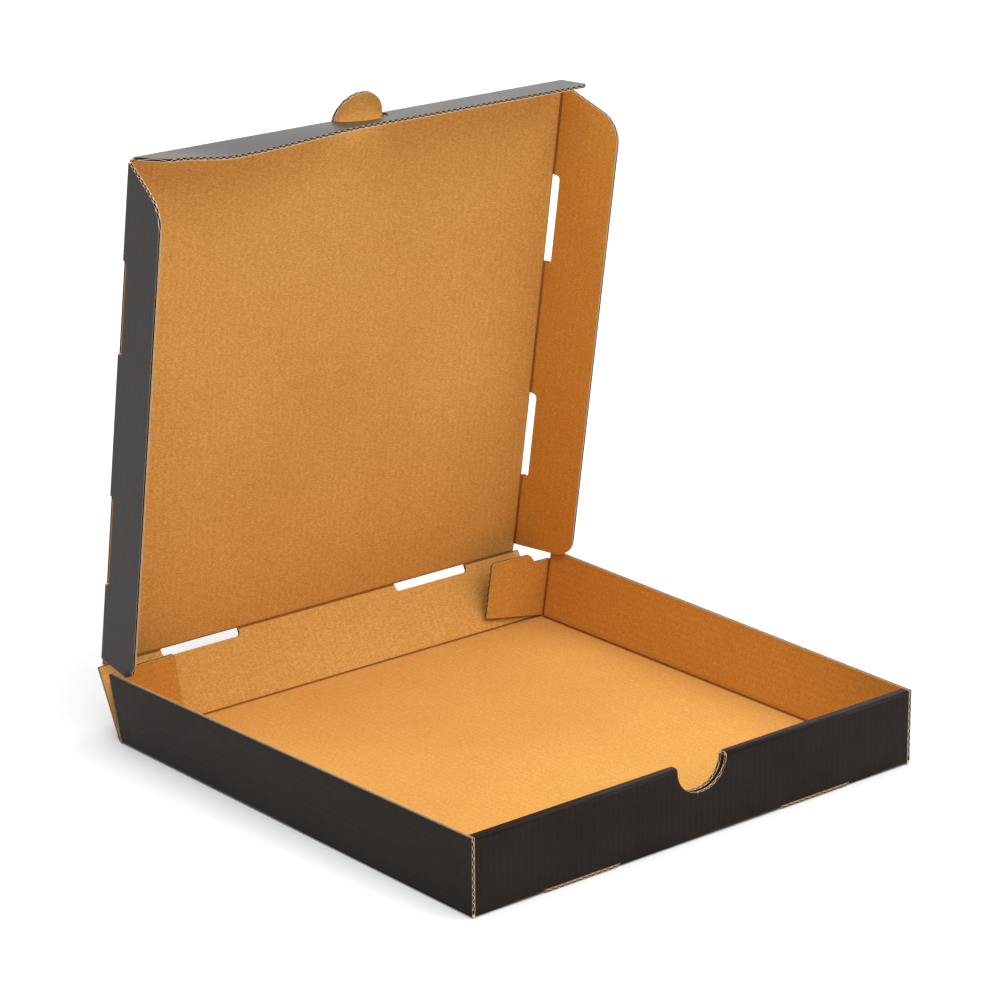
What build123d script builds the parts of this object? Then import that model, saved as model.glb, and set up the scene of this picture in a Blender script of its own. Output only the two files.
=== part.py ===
# Pizza box of single-wall corrugated board, standing with its lid open.
# Frame: millimetres, X to the right along the front wall, Y towards the back, Z up,
# with the origin at the centre of the tray floor's underside.
import os
from math import atan2, cos, degrees, radians, sin, tan

from build123d import *

os.makedirs("parts", exist_ok=True)

# Driving dimensions: board and tray
BOARD = 2.0  # thickness of the corrugated board
TRAY_WIDTH = 330.0  # outside, along X
TRAY_DEPTH = 330.0  # outside, along Y
WALL_HEIGHT = 46.0  # side walls and front wall, from the underside
WALL_SPLAY = 7.0  # how far a side wall's rear top corner leans out
CREASE_ROUND = 0.6  # soft outer edge along the floor creases
PLY_GAP = 2.6  # hollow between the two plies of the front wall
ROLL_ROUND = 1.3  # rounding of the front wall's rolled top
TUCK_LENGTH = 69.0  # side-wall flaps tucked inside the front wall
TUCK_INSET = 3.0  # their distance from the floor and from the rolled top
TAB_OFFSET = 88.0  # locking tabs of the inner ply, from the middle
TAB_WIDTH = 53.0
TAB_CLEARANCE = 1.0  # slot around each tab
NOTCH_CLEARANCE = 0.5  # finger notch and flap cut-out around the thumb tongue

# Driving dimensions: folds
GAP = 0.15  # running gap at each fold between two boards
LID_HEADROOM = 1.0  # closed lid above the walls
SIDE_CLEARANCE = 1.9  # lid side flaps inside the side walls
FRONT_CLEARANCE = 0.8  # lid front flap inside the front wall
FLOOR_CLEARANCE = 0.6  # lid side flaps above the rear wall's crease
BACK_CLEARANCE = 0.3  # corner flaps in front of the upright rear wall
LEAN_BACK = 29.0  # rear wall at rest, from upright, towards the back
LEAN_LID = 8.9  # lid at rest, from upright, towards the front
FOLD_RIGHT = 77.5  # each flap at rest, folded out of its panel's plane
FOLD_LEFT = 79.0
FOLD_FRONT = 76.0
FOLD_CORNER = 87.0

# Driving dimensions: rear wall, lid and flaps
BACK_INSET = 0.8  # rear wall's ends, inside the tray's width
BACK_TAPER = 1.4  # further inset at the top
SLOT_LENGTH = 57.5  # relief slots along the lid's creases
SLOT_WIDTH = 5.0
SLOT_ROUND = 2.4
HINGE_SLOT_OFFSET = 89.5  # from the middle of the rear wall
SIDE_SLOT_REAR = 83.0  # from the lid crease
SIDE_SLOT_FRONT = 88.4  # from the front crease
TONGUE_RADIUS = 18.0
TONGUE_ROOT = 1.5  # how far the tongue runs into the lid
TONGUE_TILT = 10.0
FRONT_FLAP_DEPTH = 30.0
FRONT_FLAP_INSET = 1.3
FRONT_FLAP_TAPER = 9.0  # degrees
FRONT_FLAP_ROUND = 4.0
SIDE_REAR_INSET = 5.0
SIDE_REAR_TAPER = 8.0
SIDE_REAR_ROUND = 13.0
SIDE_FRONT_INSET = 1.0
SIDE_FRONT_TAPER = 16.5
SIDE_FRONT_ROUND = 18.0
CORNER_LENGTH = 46.0
CORNER_FOOT = 1.2  # corner flap's lower edge above the floor
CORNER_ROUND = 2.5
CORNER_RELIEF_RUN = 11.5  # lower top next to the crease, clear of the lid's side flap
CORNER_RELIEF_DROP = 5.7
CORNER_RELIEF_SLOPE = 5.0  # run of the slope between the two tops
CORNER_RELIEF_ROUND = 3.0

# Places that follow from them
half_width = TRAY_WIDTH / 2
half_depth = TRAY_DEPTH / 2
inner_x = half_width - BOARD
inner_y = half_depth - BOARD
front_inside = -inner_y + PLY_GAP + BOARD
corner_crease_y = inner_y - BOARD - BACK_CLEARANCE
back_height = WALL_HEIGHT + LID_HEADROOM - BOARD
lid_half = inner_x - SIDE_CLEARANCE - BOARD
lid_length = inner_y - front_inside - FRONT_CLEARANCE - BOARD
side_depth = back_height - FLOOR_CLEARANCE
opening_radius = TONGUE_RADIUS + NOTCH_CLEARANCE
splay_angle = degrees(atan2(WALL_SPLAY, WALL_HEIGHT))
corner_bottom = BOARD + CORNER_FOOT

# Directions and crease lines at rest
right = Vector(1, 0, 0)
rearward = Vector(0, 1, 0)
wall_up = Vector(0, sin(radians(LEAN_BACK)), cos(radians(LEAN_BACK)))
wall_inside = Vector(0, -cos(radians(LEAN_BACK)), sin(radians(LEAN_BACK)))
lid_up = Vector(0, -sin(radians(LEAN_LID)), cos(radians(LEAN_LID)))
lid_inside = Vector(0, -cos(radians(LEAN_LID)), -sin(radians(LEAN_LID)))
floor_crease = Vector(0, inner_y, BOARD)
lid_crease = floor_crease + wall_up * back_height
front_crease = lid_crease + lid_up * lid_length


def folded(away, inside, fold):
    """A flap's direction away from its crease and its inside normal, after a fold in degrees."""
    turn = radians(fold)
    return away * cos(turn) + inside * sin(turn), inside * cos(turn) - away * sin(turn)


def wall_section(side, lean):
    """Corners of a side wall's section, with its top leaning out by the given amount."""
    return [
        (side * inner_x, BOARD),
        (side * half_width, BOARD),
        (side * (half_width + lean), WALL_HEIGHT),
        (side * (inner_x + lean), WALL_HEIGHT),
    ]


def corner_top(along):
    """Height of a corner flap, along its leaning crease, where its top is level with the wall."""
    rise = along * sin(radians(splay_angle))
    return (WALL_HEIGHT - BACK_CLEARANCE - rise) / cos(radians(splay_angle))


# Tray: floor, side walls that twist outwards towards the back, double front wall
with BuildPart() as tray:
    with BuildSketch():
        with Locations((0, (inner_y - half_depth) / 2)):
            Rectangle(TRAY_WIDTH, half_depth + inner_y)
    extrude(amount=BOARD)
    underside = tray.edges().group_by(Axis.Z)[0]
    fillet(underside.sort_by(Axis.Y)[:-1], CREASE_ROUND)
    for side in (-1, 1):
        for y, lean in ((-inner_y, 0), (corner_crease_y, WALL_SPLAY)):
            with BuildSketch(Plane.XZ.offset(-y)):
                with BuildLine():
                    Polyline(*wall_section(side, lean), close=True)
                make_face()
        loft(ruled=True)
        # front flap of the side wall, tucked inside the front wall
        with BuildSketch(Plane.XZ.offset(inner_y)):
            with Locations((side * (inner_x + (BOARD - TUCK_LENGTH) / 2), WALL_HEIGHT / 2)):
                Rectangle(TUCK_LENGTH, WALL_HEIGHT - 2 * (BOARD + TUCK_INSET))
        extrude(amount=-BOARD)
    # outer ply, which runs past the side walls' ends
    with BuildSketch(Plane.XZ.offset(inner_y)):
        with Locations((0, WALL_HEIGHT / 2)):
            Rectangle(TRAY_WIDTH, WALL_HEIGHT - 2 * BOARD)
    extrude(amount=BOARD)
    # outer ply rolled over the top and down inside, its ends held by the side walls
    roll_reach = inner_x + BOARD / 2
    with BuildSketch(Plane.YZ.offset(-roll_reach)) as roll:
        with BuildLine():
            Polyline(
                (-half_depth, BOARD),
                (-half_depth, WALL_HEIGHT),
                (front_inside, WALL_HEIGHT),
                (front_inside, BOARD),
                (front_inside - BOARD, BOARD),
                (front_inside - BOARD, WALL_HEIGHT - BOARD),
                (-inner_y, WALL_HEIGHT - BOARD),
                (-inner_y, BOARD),
                close=True,
            )
        make_face()
        fillet(roll.vertices().group_by(Axis.Y)[-1], ROLL_ROUND)
    extrude(amount=2 * roll_reach)
    # finger notch through both plies
    with BuildSketch(Plane.XZ.offset(half_depth + BOARD)):
        with Locations((0, WALL_HEIGHT)):
            Circle(opening_radius)
    extrude(amount=-(half_depth + BOARD + front_inside + BOARD), mode=Mode.SUBTRACT)
    # slots along the front crease, and the inner ply's tabs that lock into them
    for x in (-TAB_OFFSET, TAB_OFFSET):
        with BuildSketch(Plane.XZ.offset(half_depth + BOARD)):
            with Locations((x, 0)):
                Rectangle(TAB_WIDTH + 2 * TAB_CLEARANCE, 2 * (BOARD + TAB_CLEARANCE))
        extrude(amount=-3 * BOARD, mode=Mode.SUBTRACT)
        with BuildSketch(Plane.XZ.offset(half_depth - BOARD / 4)):
            with Locations((x, BOARD / 2)):
                Rectangle(TAB_WIDTH, BOARD)
        extrude(amount=-(half_depth - BOARD / 4 + front_inside))
tray.part.label = "tray"
export_step(tray.part, "parts/tray.step")

# Rear wall: stands on the floor's rear crease and carries the lid
with BuildPart() as back_wall:
    with BuildSketch(Plane(origin=floor_crease, x_dir=right, z_dir=wall_inside)):
        with BuildLine():
            foot = half_width - BACK_INSET
            Polyline(
                (-foot, GAP),
                (foot, GAP),
                (foot - BACK_TAPER, back_height - GAP),
                (-foot + BACK_TAPER, back_height - GAP),
                close=True,
            )
        make_face()
        with Locations((-HINGE_SLOT_OFFSET, back_height), (HINGE_SLOT_OFFSET, back_height)):
            RectangleRounded(SLOT_LENGTH, 2 * SLOT_WIDTH, SLOT_ROUND, mode=Mode.SUBTRACT)
    extrude(amount=-BOARD)
back_wall.part.label = "back_wall"
export_step(back_wall.part, "parts/back_wall.step")

# Lid panel with its half-round thumb tongue
_, tongue_inside = folded(lid_up, lid_inside, TONGUE_TILT)
with BuildPart() as lid_panel:
    with BuildSketch(Plane(origin=lid_crease, x_dir=right, z_dir=lid_inside)):
        with Locations((0, (lid_length + GAP) / 2)):
            Rectangle(2 * lid_half, lid_length - GAP)
    extrude(amount=-BOARD)
    with BuildSketch(Plane(origin=front_crease, x_dir=right, z_dir=tongue_inside)):
        with BuildLine():
            arch = CenterArc((0, 0), TONGUE_RADIUS, 0, 180)
            Polyline(
                arch @ 1,
                (-TONGUE_RADIUS, -TONGUE_ROOT),
                (TONGUE_RADIUS, -TONGUE_ROOT),
                arch @ 0,
            )
        make_face()
    extrude(amount=-BOARD)
lid_panel.part.label = "lid_panel"
export_step(lid_panel.part, "parts/lid_panel.step")

# Front flap of the lid, with the half-round opening the tongue was cut from
_, front_flap_inside = folded(lid_up, lid_inside, FOLD_FRONT)
with BuildPart() as lid_front_flap:
    with BuildSketch(Plane(origin=front_crease, x_dir=right, z_dir=front_flap_inside)) as outline:
        with BuildLine():
            root = lid_half - FRONT_FLAP_INSET
            tip = root - FRONT_FLAP_DEPTH * tan(radians(FRONT_FLAP_TAPER))
            Polyline((-root, GAP), (root, GAP), (tip, FRONT_FLAP_DEPTH), (-tip, FRONT_FLAP_DEPTH), close=True)
        make_face()
        fillet(outline.vertices().group_by(Axis.Y)[-1], FRONT_FLAP_ROUND)
        Circle(opening_radius, mode=Mode.SUBTRACT)
    extrude(amount=-BOARD)
lid_front_flap.part.label = "lid_front_flap"
export_step(lid_front_flap.part, "parts/lid_front_flap.step")


def side_flap(side, fold):
    """Side flap of the lid: side is 1 on the right and -1 on the left."""
    crease = lid_crease + right * (side * lid_half)
    away, inside = folded(right * side, lid_inside, fold)
    rear_tip = SIDE_REAR_INSET + side_depth * tan(radians(SIDE_REAR_TAPER))
    front_root = lid_length - SIDE_FRONT_INSET
    front_tip = front_root - side_depth * tan(radians(SIDE_FRONT_TAPER))
    with BuildPart() as flap:
        with BuildSketch(Plane(origin=crease, x_dir=away * side, z_dir=inside)) as outline:
            with BuildLine():
                Polyline(
                    (side * GAP, SIDE_REAR_INSET),
                    (side * side_depth, rear_tip),
                    (side * side_depth, front_tip),
                    (side * GAP, front_root),
                    close=True,
                )
            make_face()
            free_edge = outline.edges().sort_by_distance((side * side_depth, lid_length / 2))[0]
            fillet(free_edge.vertices().sort_by(Axis.Y)[0], SIDE_REAR_ROUND)
            free_edge = outline.edges().sort_by_distance((side * side_depth, lid_length / 2))[0]
            fillet(free_edge.vertices().sort_by(Axis.Y)[-1], SIDE_FRONT_ROUND)
            with Locations((0, SIDE_SLOT_REAR), (0, lid_length - SIDE_SLOT_FRONT)):
                RectangleRounded(2 * SLOT_WIDTH, SLOT_LENGTH, SLOT_ROUND, mode=Mode.SUBTRACT)
        extrude(amount=-BOARD)
    return flap


lid_right_flap = side_flap(1, FOLD_RIGHT)
lid_right_flap.part.label = "lid_right_flap"
export_step(lid_right_flap.part, "parts/lid_right_flap.step")

lid_left_flap = side_flap(-1, FOLD_LEFT)
lid_left_flap.part.label = "lid_left_flap"
export_step(lid_left_flap.part, "parts/lid_left_flap.step")


def corner_flap(side):
    """Loose flap at a side wall's rear end, folded inwards in front of the rear wall."""
    crease = Vector(side * WALL_SPLAY, 0, WALL_HEIGHT).normalized()
    inwards = Vector(-side * crease.Z, 0, side * crease.X)
    away, inside = folded(rearward, inwards, FOLD_CORNER)
    foot = Vector(side * inner_x, corner_crease_y, 0)
    with BuildPart() as flap:
        with BuildSketch(Plane(origin=foot, x_dir=away * -side, z_dir=inside)) as outline:
            with BuildLine():
                slope_end = CORNER_RELIEF_RUN + CORNER_RELIEF_SLOPE
                Polyline(
                    (-side * GAP, corner_bottom),
                    (-side * CORNER_LENGTH, corner_bottom),
                    (-side * CORNER_LENGTH, corner_top(CORNER_LENGTH)),
                    (-side * slope_end, corner_top(slope_end)),
                    (-side * CORNER_RELIEF_RUN, corner_top(CORNER_RELIEF_RUN) - CORNER_RELIEF_DROP),
                    (-side * GAP, corner_top(0) - CORNER_RELIEF_DROP),
                    close=True,
                )
            make_face()
            free_edge = outline.edges().sort_by_distance((-side * CORNER_LENGTH, WALL_HEIGHT / 2))[0]
            fillet(free_edge.vertices(), CORNER_ROUND)
            slope = (-side * (slope_end - CORNER_RELIEF_SLOPE / 2), corner_top(slope_end) - CORNER_RELIEF_DROP / 2)
            fillet(outline.edges().sort_by_distance(slope)[0].vertices(), CORNER_RELIEF_ROUND)
        extrude(amount=-BOARD)
    return flap


rear_right_corner_flap = corner_flap(1)
rear_right_corner_flap.part.label = "rear_right_corner_flap"
export_step(rear_right_corner_flap.part, "parts/rear_right_corner_flap.step")

rear_left_corner_flap = corner_flap(-1)
rear_left_corner_flap.part.label = "rear_left_corner_flap"
export_step(rear_left_corner_flap.part, "parts/rear_left_corner_flap.step")
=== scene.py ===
# Pizza box of thin corrugated board with its lid open: printed black outside, bare kraft inside.
# Boards are drawn flat in millimetres, as on the cutting table, and then set into the frame in metres.
from math import atan2, cos, pi, radians, sin, tan

import bmesh
import bpy
from mathutils import Matrix, Vector


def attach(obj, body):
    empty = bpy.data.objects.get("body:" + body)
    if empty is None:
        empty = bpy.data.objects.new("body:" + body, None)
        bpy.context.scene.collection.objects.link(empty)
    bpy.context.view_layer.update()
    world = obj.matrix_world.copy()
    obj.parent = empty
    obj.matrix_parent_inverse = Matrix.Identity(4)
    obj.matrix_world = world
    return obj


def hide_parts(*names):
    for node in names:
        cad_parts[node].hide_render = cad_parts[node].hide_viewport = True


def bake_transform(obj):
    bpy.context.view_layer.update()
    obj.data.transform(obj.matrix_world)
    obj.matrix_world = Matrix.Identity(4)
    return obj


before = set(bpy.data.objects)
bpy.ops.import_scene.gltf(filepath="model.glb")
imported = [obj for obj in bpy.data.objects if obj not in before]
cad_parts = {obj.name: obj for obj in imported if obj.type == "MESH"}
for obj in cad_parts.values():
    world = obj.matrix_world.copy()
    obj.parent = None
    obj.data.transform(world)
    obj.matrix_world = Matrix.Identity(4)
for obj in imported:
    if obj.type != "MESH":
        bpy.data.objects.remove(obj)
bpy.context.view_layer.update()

# Board
MM = 0.001
BOARD = 2.0
LINER = 0.28
FLUTE_PAPER = 0.27
FLUTE_PITCH = 4.4
FLUTE_STEPS = 8
FLUTE_SWING = (BOARD - 2 * LINER - FLUTE_PAPER) / 2
SCORE_GROOVE = 0.75
SCORE_REACH = 2.6
SCORE_DEPTH = 0.4
SCORE_LIP = 0.3
SCORE_LINES = (SCORE_GROOVE, 1.2, 1.8, SCORE_REACH)
ROUND_STEPS = 9
BEND_STEP = 8.0
FLAP_REACH = 16.0  # degrees that a lid side flap's bend runs on into the flap
CORNER_REACH = 4.0  # the same for the corner flaps

# Tray
TRAY_WIDTH = 330.0
TRAY_DEPTH = 330.0
WALL_HEIGHT = 46.0
WALL_SPLAY = 7.0
WALL_LINES = [-140 + 28 * i for i in range(11)]
WALL_ROWS = [11, 22, 33]
PLY_GAP = 2.6
TUCK_LENGTH = 69.0
TUCK_INSET = 3.0
TUCK_ROUND = 3.0
PLY_INSET = 0.1
TAB_OFFSET = 88.0
TAB_WIDTH = 53.0
TAB_CLEARANCE = 1.0
TAB_LENGTH = 4.6
TAB_ROUND = 1.5
TAB_LIFT = 0.3
TAB_CRUSH = 0.72

# Folds
LEAN_BACK = 29.0
LEAN_LID = 8.9
FOLD_RIGHT = 77.5
FOLD_LEFT = 79.0
FOLD_FRONT = 76.0
FOLD_CORNER = 87.0

# Rear wall, lid and flaps
LID_CLEARANCE = 1.9
FRONT_CLEARANCE = 0.8
FLOOR_CLEARANCE = 0.6
BACK_CLEARANCE = 0.3
BACK_INSET = 0.8
BACK_TAPER = 1.4
SLOT_LENGTH = 57.5
SLOT_WIDTH = 5.0
SLOT_ROUND = 2.4
HINGE_SLOT_OFFSET = 89.5
SIDE_SLOT_REAR = 83.0
SIDE_SLOT_FRONT = 88.4
TONGUE_RADIUS = 18.0
TONGUE_ROOT = 1.5
TONGUE_TILT = 10.0
OPENING_RADIUS = 18.5
FRONT_FLAP_DEPTH = 30.0
FRONT_FLAP_INSET = 1.3
FRONT_FLAP_TAPER = 9.0
FRONT_FLAP_ROUND = 4.0
FRONT_FLAP_SAG = 3.7
FRONT_FLAP_CURL = 4.3
SAG_START, SAG_END, CURL_END = 10, 108, 152
FRONT_FLAP_LINES = [-153 + 5 * i for i in range(29)]
FRONT_FLAP_ROWS = [10, 20]
SIDE_REAR_INSET = 5.0
SIDE_REAR_TAPER = 8.0
SIDE_REAR_ROUND = 13.0
SIDE_FRONT_INSET = 1.0
SIDE_FRONT_TAPER = 16.5
SIDE_FRONT_ROUND = 18.0
CORNER_LENGTH = 46.0
CORNER_FOOT = 1.2
CORNER_CREASE_FOOT = 0.8
CORNER_ROUND = 1.2
CORNER_RELIEF_RUN = 11.5
CORNER_RELIEF_DROP = 5.7
CORNER_RELIEF_SLOPE = 5.0
CORNER_RELIEF_ROUND = 3.0

# Roundings as shares of their radius: half rounds, and corners that are not square
HALF_ROUND = 0.98
PLY_HALF_ROUND = 0.9
SIDE_FRONT_SHARE = 0.75
SIDE_REAR_SHARE = 0.87
RELIEF_SHARE = 0.5

# Studio
FLOOR_SIZE = 30.0
FLOOR_DROP = 0.0003
FLOOR_WHITE = 0.9
FLOOR_GLOW = 0.08
AMBIENT = 0.14
SEEN_WHITE = 1.0
SUN_TOWARDS = (0.02, -0.28, 0.96)
SUN_SPREAD = 95.0
SUN_STRENGTH = 3.9
LENS = 133.757
SENSOR = 36.0
CAMERA_SPOT = (-1.302328, -1.551918, 0.824537)
CAMERA_RIGHT = Vector((0.766286, -0.642472, -0.005958))
CAMERA_UP = Vector((0.205604, 0.236420, 0.949649))
CAMERA_BACK = Vector((-0.608714, -0.728927, 0.313260))

# Fineness of the grain in paper and ink
CLOUD_GRAIN = 8
INK_CLOUD_GRAIN = 22
FINE_GRAIN = 1500
FIBRE_GRAIN = 2100
SPECK_GRAIN = 1150
FLECK_GRAIN = 1300
DUST_GRAIN = 900
EDGE_GRAIN = 1700
FIBRE_STRETCH = 5.0
FLECK_SLANT = 31

half_width = TRAY_WIDTH / 2
half_depth = TRAY_DEPTH / 2
inner_x = half_width - BOARD
inner_y = half_depth - BOARD
front_inside = -inner_y + PLY_GAP + BOARD
corner_crease_y = inner_y - BOARD - BACK_CLEARANCE
back_height = WALL_HEIGHT + 1.0 - BOARD
lid_half = inner_x - LID_CLEARANCE - BOARD
lid_length = inner_y - front_inside - FRONT_CLEARANCE - BOARD
side_depth = back_height - FLOOR_CLEARANCE
wall_rise = WALL_HEIGHT - BOARD
slot_half = SLOT_LENGTH / 2

right = Vector((1, 0, 0))
rearward = Vector((0, 1, 0))
upward = Vector((0, 0, 1))
wall_up = Vector((0, sin(radians(LEAN_BACK)), cos(radians(LEAN_BACK))))
wall_inside = Vector((0, -cos(radians(LEAN_BACK)), sin(radians(LEAN_BACK))))
lid_up = Vector((0, -sin(radians(LEAN_LID)), cos(radians(LEAN_LID))))
lid_inside = Vector((0, -cos(radians(LEAN_LID)), -sin(radians(LEAN_LID))))
floor_crease = Vector((0, inner_y, BOARD))
lid_crease = floor_crease + wall_up * back_height
front_crease = lid_crease + lid_up * lid_length


def folded(away, inside, fold):
    """A flap's direction away from its crease and its inside normal, after a fold in degrees."""
    turn = radians(fold)
    return away * cos(turn) + inside * sin(turn), inside * cos(turn) - away * sin(turn)


def spot(origin, away, inside):
    """Where a board's plane sits: along its crease, away from the crease, and up to its inside."""
    along = away.cross(inside)
    place = Matrix((along, away, inside)).transposed().to_4x4()
    place.translation = origin
    return Matrix.Scale(MM, 4) @ place


# Finishes


def nodes_of(material):
    """Node helper of a new material: its tree, its shader and the coordinates of the object."""
    material.use_nodes = True
    tree = material.node_tree
    shader = tree.nodes["Principled BSDF"]
    where = tree.nodes.new("ShaderNodeTexCoord").outputs["Object"]
    return tree, shader, where


def turned(tree, where, lean=0.0, stretch=(1, 1, 1)):
    """Coordinates turned about X by a panel's lean, and stretched."""
    mapping = tree.nodes.new("ShaderNodeMapping")
    mapping.vector_type = "TEXTURE"
    mapping.inputs["Rotation"].default_value = (radians(lean), 0, 0)
    mapping.inputs["Scale"].default_value = stretch
    tree.links.new(where, mapping.inputs["Vector"])
    return mapping.outputs["Vector"]


def grain(tree, where, scale, detail=2.0, rough=0.5):
    """Noise of the given fineness."""
    noise = tree.nodes.new("ShaderNodeTexNoise")
    noise.inputs["Scale"].default_value = scale
    noise.inputs["Detail"].default_value = detail
    noise.inputs["Roughness"].default_value = rough
    tree.links.new(where, noise.inputs["Vector"])
    return noise.outputs["Fac"]


def flute_bands(tree, where, across):
    """Bands at the pitch of the flutes, across the given axis."""
    wave = tree.nodes.new("ShaderNodeTexWave")
    wave.bands_direction = across
    wave.inputs["Scale"].default_value = 2 * pi / (20 * FLUTE_PITCH * MM)
    wave.inputs["Distortion"].default_value = 0.5
    wave.inputs["Detail Scale"].default_value = 0.4
    tree.links.new(where, wave.inputs["Vector"])
    return wave.outputs["Fac"]


def ramp(tree, value, low, high, first, last):
    """Colours between two stops of a value."""
    node = tree.nodes.new("ShaderNodeValToRGB")
    node.color_ramp.elements[0].position = low
    node.color_ramp.elements[1].position = high
    node.color_ramp.elements[0].color = (*first, 1)
    node.color_ramp.elements[1].color = (*last, 1)
    tree.links.new(value, node.inputs["Fac"])
    return node.outputs["Color"]


def laid(tree, below, above, amount, how="MIX", mask=None):
    """One colour laid over another."""
    node = tree.nodes.new("ShaderNodeMix")
    node.data_type = "RGBA"
    node.blend_type = how
    node.inputs["Factor"].default_value = amount
    if mask is not None:
        tree.links.new(mask, node.inputs["Factor"])
    tree.links.new(below, node.inputs["A"])
    tree.links.new(above, node.inputs["B"])
    return node.outputs["Result"]


def relief(tree, shader, heights):
    """Surface relief from several heights: (value, distance, strength) one on another."""
    normal = None
    for value, distance, strength in heights:
        bump = tree.nodes.new("ShaderNodeBump")
        bump.inputs["Distance"].default_value = distance
        bump.inputs["Strength"].default_value = strength
        tree.links.new(value, bump.inputs["Height"])
        if normal is not None:
            tree.links.new(normal, bump.inputs["Normal"])
        normal = bump.outputs["Normal"]
    tree.links.new(normal, shader.inputs["Normal"])


def grey(level):
    return (level, level, level)


def tinted(tree, below, value, low, high, dark, pale):
    """A colour multiplied by two tones between two stops of a value."""
    return laid(tree, below, ramp(tree, value, low, high, dark, pale), 1.0, "MULTIPLY")


def kraft_liner(name, lean, across, dark, pale):
    """Bare kraft paper: cloudy tone, short fibres across the flutes, fine specks, faint flute bands in
    relief and as painted shade.
    """
    material = bpy.data.materials.new(name)
    tree, shader, where = nodes_of(material)
    flat = turned(tree, where, lean)
    long_way = (FIBRE_STRETCH, 1.0, 1.0) if across == "X" else (1.0, 1.0, FIBRE_STRETCH)
    fibre = grain(tree, turned(tree, where, lean, long_way), FIBRE_GRAIN, 2.0, 0.6)
    fine = grain(tree, flat, FINE_GRAIN, 2.0, 0.6)
    bands = flute_bands(tree, flat, across)
    tone = ramp(tree, grain(tree, flat, CLOUD_GRAIN, 4.0, 0.55), 0.32, 0.68, dark, pale)
    tone = tinted(tree, tone, fine, 0.28, 0.72, (0.76, 0.70, 0.56), (1.20, 1.24, 1.36))
    tone = tinted(tree, tone, fibre, 0.3, 0.7, (0.86, 0.82, 0.72), (1.10, 1.13, 1.20))
    # Flute bands darken the tone a little, painted shade of the washboard ripples
    tone = tinted(tree, tone, bands, 0.0, 1.0, (0.975, 0.972, 0.968), (1.012, 1.012, 1.012))
    specks = ramp(tree, grain(tree, flat, SPECK_GRAIN, 1.0, 0.4), 0.71, 0.77, grey(0.0), grey(0.6))
    bark = ramp(tree, fine, 0.0, 1.0, (0.16, 0.06, 0.015), (0.30, 0.13, 0.04))
    tone = laid(tree, tone, bark, 0.0, "MIX", specks)
    slant = turned(tree, where, lean + FLECK_SLANT, long_way)
    flecks = ramp(tree, grain(tree, slant, FLECK_GRAIN, 1.0, 0.4), 0.70, 0.77, grey(0.0), grey(0.35))
    straw = ramp(tree, fine, 0.0, 1.0, (0.86, 0.56, 0.27), (0.95, 0.68, 0.36))
    tone = laid(tree, tone, straw, 0.0, "MIX", flecks)
    tree.links.new(tone, shader.inputs["Base Color"])
    tree.links.new(ramp(tree, fibre, 0.2, 0.8, grey(0.93), grey(0.8)), shader.inputs["Roughness"])
    shader.inputs["Specular IOR Level"].default_value = 0.12
    relief(tree, shader, [(bands, 0.00005, 0.4), (fine, 0.00004, 0.3), (fibre, 0.00003, 0.3)])
    return material


def black_print(name, lean, across, gloss, smooth, rough):
    """Black ink over the outer liner: faint flute bands, paper grain, dust specks, gloss at a low angle."""
    material = bpy.data.materials.new(name)
    tree, shader, where = nodes_of(material)
    flat = turned(tree, where, lean)
    fine = grain(tree, flat, FINE_GRAIN, 3.0, 0.6)
    bands = flute_bands(tree, flat, across)
    cloud = grain(tree, flat, INK_CLOUD_GRAIN, 4.0, 0.6)
    tone = ramp(tree, cloud, 0.3, 0.72, (0.0150, 0.0108, 0.0088), (0.0215, 0.0158, 0.0130))
    tone = tinted(tree, tone, fine, 0.3, 0.75, grey(0.8), (1.25, 1.24, 1.2))
    tone = tinted(tree, tone, bands, 0.0, 1.0, grey(0.93), grey(1.06))
    specks = ramp(tree, grain(tree, flat, DUST_GRAIN, 1.0, 0.4), 0.74, 0.79, grey(0.0), grey(0.3))
    dust = ramp(tree, fine, 0.0, 1.0, (0.05, 0.044, 0.036), (0.09, 0.08, 0.065))
    tone = laid(tree, tone, dust, 0.0, "MIX", specks)
    tree.links.new(tone, shader.inputs["Base Color"])
    tree.links.new(ramp(tree, cloud, 0.25, 0.75, grey(smooth), grey(rough)), shader.inputs["Roughness"])
    shader.inputs["Specular IOR Level"].default_value = gloss
    relief(tree, shader, [(bands, 0.00005, 0.2), (fine, 0.00003, 0.2)])
    return material


def torn_paper(name, dark, pale):
    """Raw edge of cut paper, paper painted dark as the shade inside the board and between plies, or a
    pressed score partly darkened as painted shade of its groove.
    """
    material = bpy.data.materials.new(name)
    tree, shader, where = nodes_of(material)
    fine = grain(tree, where, EDGE_GRAIN, 3.0, 0.6)
    tree.links.new(ramp(tree, fine, 0.3, 0.7, dark, pale), shader.inputs["Base Color"])
    tree.links.new(ramp(tree, fine, 0.2, 0.8, grey(0.95), grey(0.85)), shader.inputs["Roughness"])
    shader.inputs["Specular IOR Level"].default_value = 0.1
    relief(tree, shader, [(fine, 0.00008, 0.5)])
    return material


KRAFT = ((0.66, 0.325, 0.078), (0.72, 0.370, 0.094))
# Shaded copy of the kraft, darker and deeper in colour as painted shade, for the walls, corner flaps and
# lid side flaps
KRAFT_PAINTED_SHADE = ((0.645, 0.285, 0.048), (0.70, 0.325, 0.059))
# Ink: reflection, roughness where smoothest and where roughest
MATTE = (0.055, 0.21, 0.30)
SATIN = (0.75, 0.32, 0.40)
liner_edge = torn_paper("liner_edge", (0.62, 0.42, 0.25), (0.92, 0.70, 0.48))
# Cut edge of the outer liner: the same kraft edge, painted darker as shade
outer_edge_painted_shade = torn_paper("outer_edge_painted_shade", (0.18, 0.115, 0.07), (0.45, 0.31, 0.20))
flute_edge = torn_paper("flute_edge", (0.78, 0.58, 0.39), (0.97, 0.83, 0.66))
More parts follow.
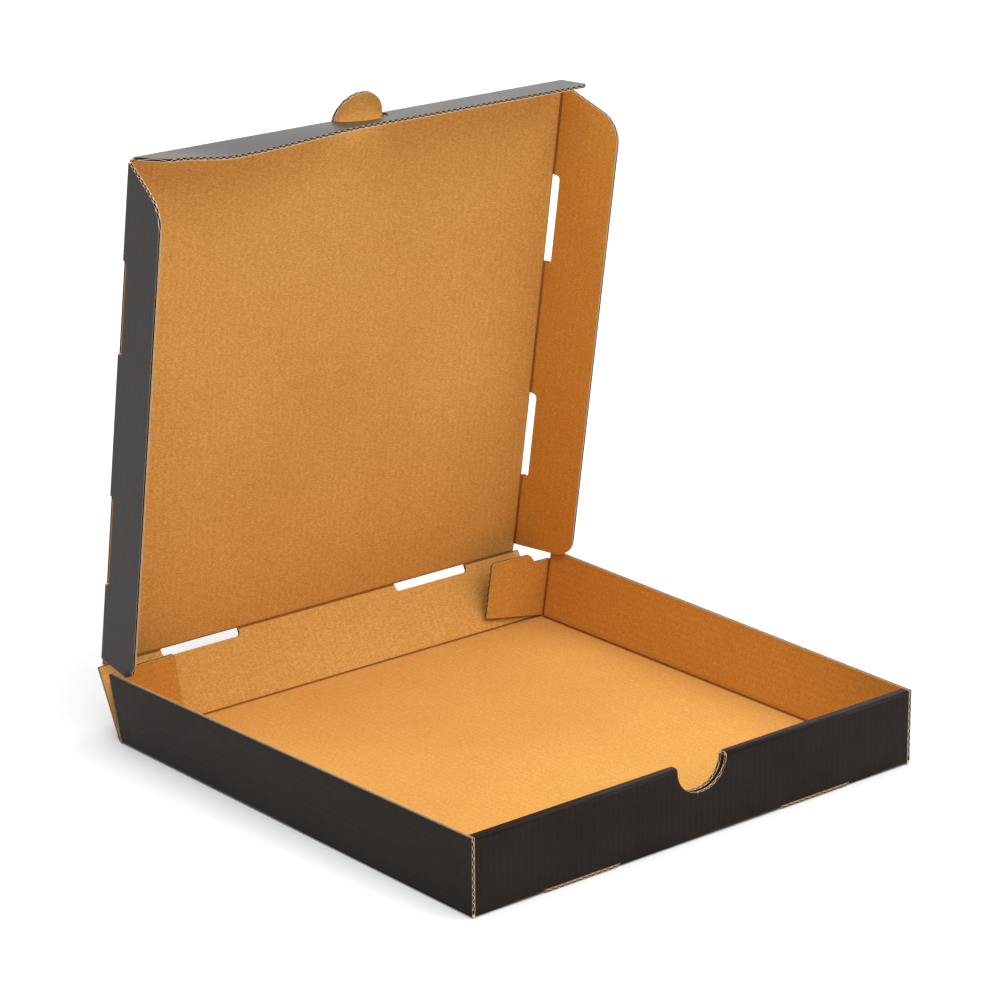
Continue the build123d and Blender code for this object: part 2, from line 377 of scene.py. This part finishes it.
# Flute paper and the liner faces turned to it, painted dark as the shade inside the board
flute_painted_shade = torn_paper("flute_painted_shade", (0.022, 0.010, 0.0045), (0.050, 0.023, 0.010))
# Kraft between the front wall's plies, painted dark as shade
ply_painted_shade = torn_paper("ply_painted_shade", (0.050, 0.017, 0.006), (0.10, 0.036, 0.012))
# Pressed score colour: partly crushed paper and partly painted shade of the groove
score_and_groove_shade = torn_paper("score_and_groove_shade", (0.20, 0.062, 0.010), (0.34, 0.115, 0.024))


def finishes(tag, lean, across, kraft=KRAFT, ink=MATTE):
    """Materials of one panel: kraft inside, print outside, cut edges with the outer one painted darker as
    shade, flutes painted dark as shade, score line partly painted shade.
    """
    return [kraft_liner("kraft_" + tag, lean, across, *kraft),
            black_print("print_" + tag, lean, across, *ink),
            liner_edge, outer_edge_painted_shade, flute_edge, flute_painted_shade, score_and_groove_shade]


level_board = finishes("level", 0.0, "X")
# Walls, tucks and corner flaps get the kraft darkened as painted shade
wall_board = finishes("wall", 0.0, "Z", KRAFT_PAINTED_SHADE)
front_board = finishes("front", 90.0, "X")
# The kraft faces between the plies of the front wall are painted dark as shade
ply_board = [ply_painted_shade] + front_board[1:]
back_board = finishes("back", 90.0 - LEAN_BACK, "X")
lid_board = finishes("lid", 90.0 + LEAN_LID, "X")
# Lid side flaps get the kraft darkened as painted shade
side_board = finishes("side", 90.0 + LEAN_LID, "Z", KRAFT_PAINTED_SHADE)
flap_board = finishes("flap", 90.0 + LEAN_LID + FOLD_FRONT, "X", KRAFT, SATIN)
BARE, PRINT, LINER_EDGE, OUTER_EDGE_SHADE, FLUTE_EDGE, FLUTE_SHADE, SCORE_AND_SHADE = range(7)


# Boards


def everything(flat):
    return flat.verts[:] + flat.edges[:] + flat.faces[:]


def cut_out(corners):
    """Flat board cut to its corners (along, away, rounding), facing its inside."""
    flat = bmesh.new()
    ring = [flat.verts.new((along, away, 0)) for along, away, _ in corners]
    flat.faces.new(ring)
    for corner, (_, _, rounding) in zip(ring, corners):
        if rounding:
            bmesh.ops.bevel(flat, geom=[corner], offset=rounding, offset_type="OFFSET",
                            segments=ROUND_STEPS, profile=0.5, affect="VERTICES", material=-1)
    bmesh.ops.remove_doubles(flat, verts=flat.verts[:], dist=0.002)
    bmesh.ops.recalc_face_normals(flat, faces=flat.faces[:])
    flat.normal_update()
    if flat.faces[:][0].normal.z < 0:
        bmesh.ops.reverse_faces(flat, faces=flat.faces[:])
    return flat


def divide(flat, alongs, aways):
    """Extra lines across a board, so that it can bend."""
    for direction, values in ((right, alongs), (rearward, aways)):
        for value in values:
            bmesh.ops.bisect_plane(flat, geom=everything(flat), plane_co=direction * value,
                                   plane_no=direction)


def press_scores(flat, scores):
    """Presses the inside liner down along its score lines."""
    for point, into in scores:
        for reach in SCORE_LINES:
            bmesh.ops.bisect_plane(flat, geom=everything(flat), plane_co=point + into * reach,
                                   plane_no=into)
        for vert in flat.verts:
            reach = (vert.co - point).dot(into)
            if reach < SCORE_REACH:
                vert.co.z -= SCORE_DEPTH * (1 - reach / SCORE_REACH) ** 2


def thicken(flat, thickness):
    """Gives a flat sheet its thickness, below its inside face, and returns its rim."""
    upper = set(flat.faces)
    made = bmesh.ops.extrude_face_region(flat, geom=flat.faces[:], use_keep_orig=True)
    lower = [part for part in made["geom"] if isinstance(part, bmesh.types.BMVert)]
    bmesh.ops.translate(flat, verts=lower, vec=(0, 0, -thickness))
    bmesh.ops.recalc_face_normals(flat, faces=flat.faces[:])
    broad = upper.union(part for part in made["geom"] if isinstance(part, bmesh.types.BMFace))
    return [face for face in flat.faces if face not in broad]


def flute_core(flat, across):
    """Turns a flat sheet into the wavy paper between the liners; across is the wave's direction.

    Its rim is pale cut paper, and its faces are painted dark, as the shade inside the board."""
    spread = [vert.co.dot(across) for vert in flat.verts]
    step = FLUTE_PITCH / FLUTE_STEPS
    rest = flat.faces[:]
    for count in range(int(min(spread) / step) + 1, int(max(spread) / step) + 1):
        reach = count * step
        if not min(spread) + 0.02 < reach < max(spread) - 0.02:
            continue
        around = set(rest)
        for face in rest:
            around.update(face.edges)
            around.update(face.verts)
        made = bmesh.ops.bisect_plane(flat, geom=list(around), plane_co=across * reach, plane_no=across)
        rest = [part for part in made["geom"] if isinstance(part, bmesh.types.BMFace)
                and part.calc_center_median().dot(across) > reach]
    for vert in flat.verts:
        vert.co.z = FLUTE_SWING * sin(2 * pi * vert.co.dot(across) / FLUTE_PITCH)
    rim = set(thicken(flat, FLUTE_PAPER))
    for face in flat.faces:
        face.material_index = FLUTE_EDGE if face in rim else FLUTE_SHADE


def painted(flat, side, finish, rim, scores=()):
    """Faces that look to the given side get the finish; between the liners they get a dark colour painted
    as shade.
    """
    flat.normal_update()
    for face in flat.faces:
        facing = face.normal.z * side
        face.material_index = finish if facing > 0.5 else FLUTE_SHADE if facing < -0.5 else rim
        middle = face.calc_center_median()
        # Liner faces along a score get the score colour, darkened partly as painted shade of the groove
        if facing > 0.5 and any((middle - point).dot(into) < SCORE_GROOVE for point, into in scores):
            face.material_index = SCORE_AND_SHADE


def gathered(name, layers, materials, place, shape):
    """One object from the layers of a board, bent to shape and set in its place."""
    whole = bmesh.new()
    for layer in layers:
        sheet = bpy.data.meshes.new(name)
        layer.to_mesh(sheet)
        layer.free()
        whole.from_mesh(sheet)
        bpy.data.meshes.remove(sheet)
    if shape is not None:
        for vert in whole.verts:
            vert.co = shape(vert.co)
    bmesh.ops.transform(whole, matrix=place, verts=whole.verts[:])
    mesh = bpy.data.meshes.new(name)
    whole.to_mesh(mesh)
    whole.free()
    for material in materials:
        mesh.materials.append(material)
    piece = bpy.data.objects.new(name, mesh)
    bpy.context.scene.collection.objects.link(piece)
    return piece


def board(name, body, place, corners, flutes, materials, scores=(), shape=None, lines=((), ())):
    """A corrugated board: outer liner, fluted core and inner liner, riding on a body."""
    scores = [(Vector((*point, 0)), Vector((*into, 0))) for point, into in scores]
    inside = cut_out(corners)
    divide(inside, *lines)
    press_scores(inside, scores)
    thicken(inside, LINER)
    painted(inside, 1, BARE, LINER_EDGE, scores)
    outside = cut_out(corners)
    divide(outside, *lines)
    bmesh.ops.translate(outside, verts=outside.verts[:], vec=(0, 0, LINER - BOARD))
    thicken(outside, LINER)
    painted(outside, -1, PRINT, OUTER_EDGE_SHADE)
    core = cut_out(corners)
    for point, into in scores:
        bmesh.ops.bisect_plane(core, geom=everything(core), plane_co=point + into * SCORE_REACH,
                               plane_no=into, clear_inner=True)
    divide(core, *lines)
    flute_core(core, rearward if flutes == "along" else right)
    bmesh.ops.translate(core, verts=core.verts[:], vec=(0, 0, (FLUTE_PAPER - BOARD) / 2))
    piece = gathered(name, [inside, outside, core], materials, place, shape)
    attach(piece, body)
    return piece


def crease(name, bodies, origin, line, first, towards, turn, spans, materials):
    """The bent board along a crease: turned from the first panel's outside towards the second's.

    Between two bodies it is baked in place and rides on neither; on one body it rides on it and runs on
    into the moving flap."""
    axis = first.cross(towards).normalized()
    way = 1 if axis.dot(line) > 0 else -1
    bent = bmesh.new()
    for low, high in spans:
        ring = [bent.verts.new(origin + axis * (way * along) + first * reach)
                for along, reach in ((low, SCORE_LIP), (high, SCORE_LIP), (high, BOARD), (low, BOARD))]
        sides = [bent.edges.new((ring[i], ring[(i + 1) % 4])) for i in range(4)]
        bmesh.ops.spin(bent, geom=ring + sides, cent=origin, axis=axis, angle=radians(turn),
                       steps=max(4, round(turn / BEND_STEP)), use_merge=False, use_duplicate=False)
    bmesh.ops.holes_fill(bent, edges=[edge for edge in bent.edges if edge.is_boundary], sides=4)
    bmesh.ops.recalc_face_normals(bent, faces=bent.faces[:])
    bent.normal_update()
    for face in bent.faces:
        spoke = face.calc_center_median() - origin
        spoke -= axis * spoke.dot(axis)
        facing = face.normal.dot(spoke.normalized())
        # The inner face of the bend gets the score colour, partly painted shade of the groove
        face.material_index = PRINT if facing > 0.7 else SCORE_AND_SHADE if facing < -0.7 else LINER_EDGE
        face.smooth = abs(facing) > 0.7
    piece = gathered(name, [bent], materials, Matrix.Scale(MM, 4), None)
    if len(bodies) == 2:
        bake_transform(piece)
    else:
        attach(piece, bodies[0])
    return piece


def spans_between(low, high, gaps):
    """Stretches of a crease from low to high, without the gaps."""
    spans = []
    for start, end in sorted(gaps):
        spans.append((low, start))
        low = end
    spans.append((low, high))
    return spans


# Tray
tabs = [(-TAB_OFFSET, TAB_WIDTH / 2 + TAB_CLEARANCE), (TAB_OFFSET, TAB_WIDTH / 2 + TAB_CLEARANCE)]
tab_gaps = [(middle - half, middle + half) for middle, half in tabs]


def with_bites(low, high, away, bites, depth, rounding=0.0):
    """Corners along an edge from low to high that has bites of the given depth cut into it."""
    corners = [(low, away, 0)]
    for start, end in bites:
        corners += [(start, away, 0), (start, away + depth, rounding), (end, away + depth, rounding),
                    (end, away, 0)]
    return corners + [(high, away, 0)]


floor = board(
    "tray_floor", "tray", spot(Vector((0, -inner_y, BOARD)), rearward, upward),
    with_bites(-inner_x, inner_x, 0, tab_gaps, BOARD)
    + [(inner_x, 2 * inner_y, 0), (-inner_x, 2 * inner_y, 0)],
    "away", level_board,
    scores=[((0, 0), (0, 1)), ((0, 2 * inner_y), (0, -1)),
            ((inner_x, 0), (-1, 0)), ((-inner_x, 0), (1, 0))])
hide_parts("tray")

wall_length = corner_crease_y + inner_y
for side, tag in ((1, "right"), (-1, "left")):
    def splayed(point, side=side):
        y = -side * point.x
        lean = WALL_SPLAY * (y + inner_y) / wall_length * point.y / wall_rise
        return Vector((point.x, point.y, point.z - lean))

    board(
        f"tray_{tag}_wall", "tray", spot(Vector((side * inner_x, 0, BOARD)), upward, right * -side),
        [(side * half_depth, 0, 0), (side * half_depth, wall_rise, 0),
         (-side * corner_crease_y, wall_rise, 0), (-side * corner_crease_y, 0, 0)],
        "along", wall_board, scores=[((0, 0), (0, 1)), ((-side * corner_crease_y, 0), (side, 0))],
        shape=splayed, lines=([-side * line for line in WALL_LINES], WALL_ROWS))
    crease(f"tray_{tag}_crease", ["tray"], Vector((side * inner_x, 0, BOARD)), rearward,
           -upward, right * side, 90, [(-half_depth, inner_y)], wall_board)
    tuck_middle = (WALL_HEIGHT - 2 * BOARD) / 2
    board(
        f"tray_{tag}_tuck", "tray", spot(Vector((side * inner_x, -inner_y + BOARD, WALL_HEIGHT / 2)),
                                         right * -side, rearward),
        [(-tuck_middle + TUCK_INSET, 0, 0), (tuck_middle - TUCK_INSET, 0, 0),
         (tuck_middle - TUCK_INSET, TUCK_LENGTH - BOARD, TUCK_ROUND),
         (-tuck_middle + TUCK_INSET, TUCK_LENGTH - BOARD, TUCK_ROUND)],
        "away", wall_board)

notch = OPENING_RADIUS
board(
    "tray_front_wall", "tray", spot(Vector((0, -inner_y, BOARD)), upward, rearward),
    with_bites(-inner_x, inner_x, 0, tab_gaps, TAB_LIFT)
    + [(inner_x, wall_rise - BOARD, 0), (notch, wall_rise - BOARD, 0),
       (notch, wall_rise - notch, notch * HALF_ROUND), (-notch, wall_rise - notch, notch * HALF_ROUND),
       (-notch, wall_rise - BOARD, 0), (-inner_x, wall_rise - BOARD, 0)],
    "away", ply_board, scores=[((0, 0), (0, 1))])
crease("tray_front_crease", ["tray"], Vector((0, -inner_y, BOARD)), right, -upward, -rearward, 90,
       spans_between(-inner_x, inner_x, tab_gaps), level_board)
top_z = WALL_HEIGHT - BOARD
crease("tray_front_roll", ["tray"], Vector((0, -inner_y, top_z)), right, -rearward, upward, 90,
       [(-inner_x, -notch), (notch, inner_x)], front_board)
for low, high, tag in ((-inner_x + PLY_INSET, -notch, "left"), (notch, inner_x - PLY_INSET, "right")):
    board(
        f"tray_front_top_{tag}", "tray", spot(Vector((0, -inner_y, top_z)), rearward, -upward),
        [(-high, 0, 0), (-low, 0, 0), (-low, PLY_GAP, 0), (-high, PLY_GAP, 0)], "away", level_board)
ply_half = inner_x - PLY_INSET
crease("tray_front_inner_roll", ["tray"], Vector((0, front_inside - BOARD, top_z)), right,
       upward, rearward, 90, [(-ply_half, -notch), (notch, ply_half)], front_board)
board(
    "tray_front_inner_ply", "tray", spot(Vector((0, front_inside - BOARD, top_z)), -upward, -rearward),
    [(-ply_half, 0, 0), (-notch, 0, 0), (-notch, notch - BOARD, notch * PLY_HALF_ROUND),
     (notch, notch - BOARD, notch * PLY_HALF_ROUND), (notch, 0, 0), (ply_half, 0, 0),
     (ply_half, top_z - BOARD, 0), (-ply_half, top_z - BOARD, 0)],
    "away", ply_board)


def crushed(point):
    """A tab pressed flat in its slot."""
    return Vector((point.x, point.y, point.z * TAB_CRUSH - TAB_LIFT))


for middle, _ in tabs:
    board(
        f"tray_tab_{'left' if middle < 0 else 'right'}", "tray",
        spot(Vector((middle, front_inside - BOARD, BOARD)), -rearward, upward),
        [(-TAB_WIDTH / 2, 0, 0), (TAB_WIDTH / 2, 0, 0), (TAB_WIDTH / 2, TAB_LENGTH, TAB_ROUND),
         (-TAB_WIDTH / 2, TAB_LENGTH, TAB_ROUND)],
        "away", level_board, shape=crushed)

# Rear corner flaps
crease_lean = atan2(WALL_SPLAY, WALL_HEIGHT)
corner_bottom = BOARD + CORNER_FOOT
slope_end = CORNER_RELIEF_RUN + CORNER_RELIEF_SLOPE


def corner_top(along):
    """Height of a corner flap, along its leaning crease, where its top is level with the wall."""
    return (WALL_HEIGHT - BACK_CLEARANCE - along * sin(crease_lean)) / cos(crease_lean)


for side, tag in ((1, "right"), (-1, "left")):
    line = Vector((side * WALL_SPLAY, 0, WALL_HEIGHT)).normalized()
    inwards = Vector((-side * line.z, 0, side * line.x))
    away, inside = folded(rearward, inwards, FOLD_CORNER)
    foot = Vector((side * inner_x, corner_crease_y, 0))
    flap = board(
        f"corner_flap_{tag}", f"rear_{tag}_corner_flap", spot(foot, away, inside),
        [(side * corner_bottom, 0, 0), (side * corner_bottom, CORNER_LENGTH, CORNER_ROUND),
         (side * corner_top(CORNER_LENGTH), CORNER_LENGTH, CORNER_ROUND),
         (side * corner_top(slope_end), slope_end, CORNER_RELIEF_ROUND * RELIEF_SHARE),
         (side * (corner_top(CORNER_RELIEF_RUN) - CORNER_RELIEF_DROP), CORNER_RELIEF_RUN,
          CORNER_RELIEF_ROUND * RELIEF_SHARE),
         (side * (corner_top(0) - CORNER_RELIEF_DROP), 0, 0)],
        "away", wall_board, scores=[((0, 0), (0, 1))])
    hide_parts(f"rear_{tag}_corner_flap")
    crease(f"corner_crease_{tag}", ["tray"], foot, line, -inwards, rearward, FOLD_CORNER + CORNER_REACH,
           [(CORNER_CREASE_FOOT, corner_top(0) - CORNER_RELIEF_DROP)], wall_board)

# Rear wall
foot = half_width - BACK_INSET
hinge_slots = [(-HINGE_SLOT_OFFSET - slot_half, -HINGE_SLOT_OFFSET + slot_half),
               (HINGE_SLOT_OFFSET - slot_half, HINGE_SLOT_OFFSET + slot_half)]
rear = board(
    "rear_wall", "back_wall", spot(floor_crease, wall_up, wall_inside),
    with_bites(-foot + BACK_TAPER, foot - BACK_TAPER, back_height, hinge_slots, -SLOT_WIDTH, SLOT_ROUND)
    + [(foot, 0, 0), (-foot, 0, 0)],
    "away", back_board, scores=[((0, 0), (0, 1)), ((0, back_height), (0, -1))])
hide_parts("back_wall")
crease("floor_rear_crease", ["tray", "back_wall"], floor_crease, right, -upward, rearward, 90 - LEAN_BACK,
       [(-foot, foot)], level_board)
crease("lid_crease", ["back_wall", "lid_panel"], lid_crease, right, -wall_inside, wall_up,
       LEAN_BACK + LEAN_LID, spans_between(-lid_half, lid_half, hinge_slots), back_board)

# Lid and thumb tongue
lid = board(
    "lid", "lid_panel", spot(lid_crease, lid_up, lid_inside),
    [(-lid_half, 0, 0), (lid_half, 0, 0), (lid_half, lid_length, 0), (-lid_half, lid_length, 0)],
    "away", lid_board,
    scores=[((0, 0), (0, 1)), ((0, lid_length), (0, -1)),
            ((lid_half, 0), (-1, 0)), ((-lid_half, 0), (1, 0))])
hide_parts("lid_panel")
tongue_up, tongue_inside = folded(lid_up, lid_inside, TONGUE_TILT)
radius = TONGUE_RADIUS
board(
    "thumb_tongue", "lid_panel", spot(front_crease, tongue_up, tongue_inside),
    [(-radius, -TONGUE_ROOT, 0), (radius, -TONGUE_ROOT, 0), (radius, radius, radius * HALF_ROUND),
     (-radius, radius, radius * HALF_ROUND)],
    "away", lid_board)

# Front flap of the lid, sagging towards the left, where its end curls up again
root = lid_half - FRONT_FLAP_INSET
tip = root - FRONT_FLAP_DEPTH * tan(radians(FRONT_FLAP_TAPER))
opening = OPENING_RADIUS


def eased(value, start, end):
    """0 before start and 1 after end, with a smooth rise between them."""
    share = min(1.0, max(0.0, (value - start) / (end - start)))
    return share * share * (3 - 2 * share)


def curled(point):
    """The front flap bent down towards its left, and up again at its left end."""
    sag = FRONT_FLAP_SAG * eased(-point.x, SAG_START, SAG_END)
    sag -= FRONT_FLAP_CURL * eased(-point.x, SAG_END, CURL_END)
    return Vector((point.x, point.y, point.z + sag * point.y / FRONT_FLAP_DEPTH))


away, inside = folded(lid_up, lid_inside, FOLD_FRONT)
front_flap = board(
    "front_flap", "lid_front_flap", spot(front_crease, away, inside),
    [(-root, 0, 0), (-opening, 0, 0), (-opening, opening, opening * HALF_ROUND),
     (opening, opening, opening * HALF_ROUND), (opening, 0, 0), (root, 0, 0),
     (tip, FRONT_FLAP_DEPTH, FRONT_FLAP_ROUND), (-tip, FRONT_FLAP_DEPTH, FRONT_FLAP_ROUND)],
    "away", flap_board, scores=[((0, 0), (0, 1))], shape=curled,
    lines=(FRONT_FLAP_LINES, FRONT_FLAP_ROWS))
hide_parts("lid_front_flap")
crease("front_flap_crease", ["lid_panel", "lid_front_flap"], front_crease, right, -lid_inside, lid_up,
       FOLD_FRONT, [(-root, -opening), (opening, root)], lid_board)

# Side flaps of the lid
side_slots = [(SIDE_SLOT_REAR - slot_half, SIDE_SLOT_REAR + slot_half),
              (lid_length - SIDE_SLOT_FRONT - slot_half, lid_length - SIDE_SLOT_FRONT + slot_half)]
rear_tip = SIDE_REAR_INSET + side_depth * tan(radians(SIDE_REAR_TAPER))
front_root = lid_length - SIDE_FRONT_INSET
front_tip = front_root - side_depth * tan(radians(SIDE_FRONT_TAPER))
for side, tag, turn in ((1, "right", FOLD_RIGHT), (-1, "left", FOLD_LEFT)):
    away, inside = folded(right * side, lid_inside, turn)
    start = lid_crease + right * (side * lid_half)
    edge = with_bites(SIDE_REAR_INSET, front_root, 0, side_slots, SLOT_WIDTH, SLOT_ROUND)
    edge += [(front_tip, side_depth, SIDE_FRONT_ROUND * SIDE_FRONT_SHARE),
             (rear_tip, side_depth, SIDE_REAR_ROUND * SIDE_REAR_SHARE)]
    flap = board(
        f"side_flap_{tag}", f"lid_{tag}_flap", spot(start, away, inside),
        [(-side * along, out, rounding) for along, out, rounding in edge],
        "along", side_board, scores=[((0, 0), (0, 1))])
    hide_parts(f"lid_{tag}_flap")
    crease(f"side_flap_crease_{tag}", ["lid_panel"], start, lid_up, -lid_inside, right * side,
           turn + FLAP_REACH, spans_between(SIDE_REAR_INSET, front_root, side_slots), side_board)

# Floor, light and camera
ground = bmesh.new()
bmesh.ops.create_grid(ground, x_segments=1, y_segments=1, size=FLOOR_SIZE)
bmesh.ops.translate(ground, verts=ground.verts[:], vec=(0, 0, -FLOOR_DROP))
ground_mesh = bpy.data.meshes.new("studio_floor")
ground.to_mesh(ground_mesh)
ground.free()
studio_floor = bpy.data.objects.new("studio_floor", ground_mesh)
bpy.context.scene.collection.objects.link(studio_floor)


def seen_ray(tree):
    """1 for what the camera sees, directly or in a gloss, and 0 for light on the object."""
    path = tree.nodes.new("ShaderNodeLightPath")
    value = path.outputs["Is Camera Ray"]
    for output in ("Is Glossy Ray", "Is Transmission Ray"):
        larger = tree.nodes.new("ShaderNodeMath")
        larger.operation = "MAXIMUM"
        tree.links.new(value, larger.inputs[0])
        tree.links.new(path.outputs[output], larger.inputs[1])
        value = larger.outputs[0]
    return value


paper_white = bpy.data.materials.new("studio_white")
paper_white.use_nodes = True
tree = paper_white.node_tree
tree.nodes.clear()
output = tree.nodes.new("ShaderNodeOutputMaterial")
both = tree.nodes.new("ShaderNodeAddShader")
matte = tree.nodes.new("ShaderNodeBsdfDiffuse")
matte.inputs["Color"].default_value = (*grey(FLOOR_WHITE), 1)
glow = tree.nodes.new("ShaderNodeEmission")
share = tree.nodes.new("ShaderNodeMath")
share.operation = "MULTIPLY"
share.inputs[1].default_value = FLOOR_GLOW
tree.links.new(seen_ray(tree), share.inputs[0])
tree.links.new(share.outputs[0], glow.inputs["Strength"])
tree.links.new(matte.outputs[0], both.inputs[0])
tree.links.new(glow.outputs[0], both.inputs[1])
tree.links.new(both.outputs[0], output.inputs["Surface"])
ground_mesh.materials.append(paper_white)

world = bpy.data.worlds.new("studio")
bpy.context.scene.world = world
world.use_nodes = True
tree = world.node_tree
sky = tree.nodes["Background"]
sky.inputs["Color"].default_value = (1, 1, 1, 1)
level = tree.nodes.new("ShaderNodeMapRange")
level.inputs["To Min"].default_value = AMBIENT
level.inputs["To Max"].default_value = SEEN_WHITE
tree.links.new(seen_ray(tree), level.inputs["Value"])
tree.links.new(level.outputs["Result"], sky.inputs["Strength"])


def soft_sun(name, towards, spread, strength):
    """Broad even lamp far away in the given direction."""
    lamp = bpy.data.lights.new(name, "SUN")
    lamp.angle = radians(spread)
    lamp.energy = strength
    body = bpy.data.objects.new(name, lamp)
    body.rotation_mode = "QUATERNION"
    body.rotation_quaternion = (-Vector(towards)).to_track_quat("-Z", "Y")
    bpy.context.scene.collection.objects.link(body)


soft_sun("high_light", SUN_TOWARDS, SUN_SPREAD, SUN_STRENGTH)

lens = bpy.data.cameras.new("camera")
lens.sensor_width = SENSOR
lens.lens = LENS
lens.clip_start, lens.clip_end = 0.05, 60
camera = bpy.data.objects.new("camera", lens)
view = Matrix((CAMERA_RIGHT, CAMERA_UP, CAMERA_BACK)).transposed().to_4x4()
view.translation = CAMERA_SPOT
camera.matrix_world = view
bpy.context.scene.collection.objects.link(camera)
bpy.context.scene.camera = camera
bpy.context.scene.view_settings.view_transform = "Standard"

bpy.context.view_layer.update()
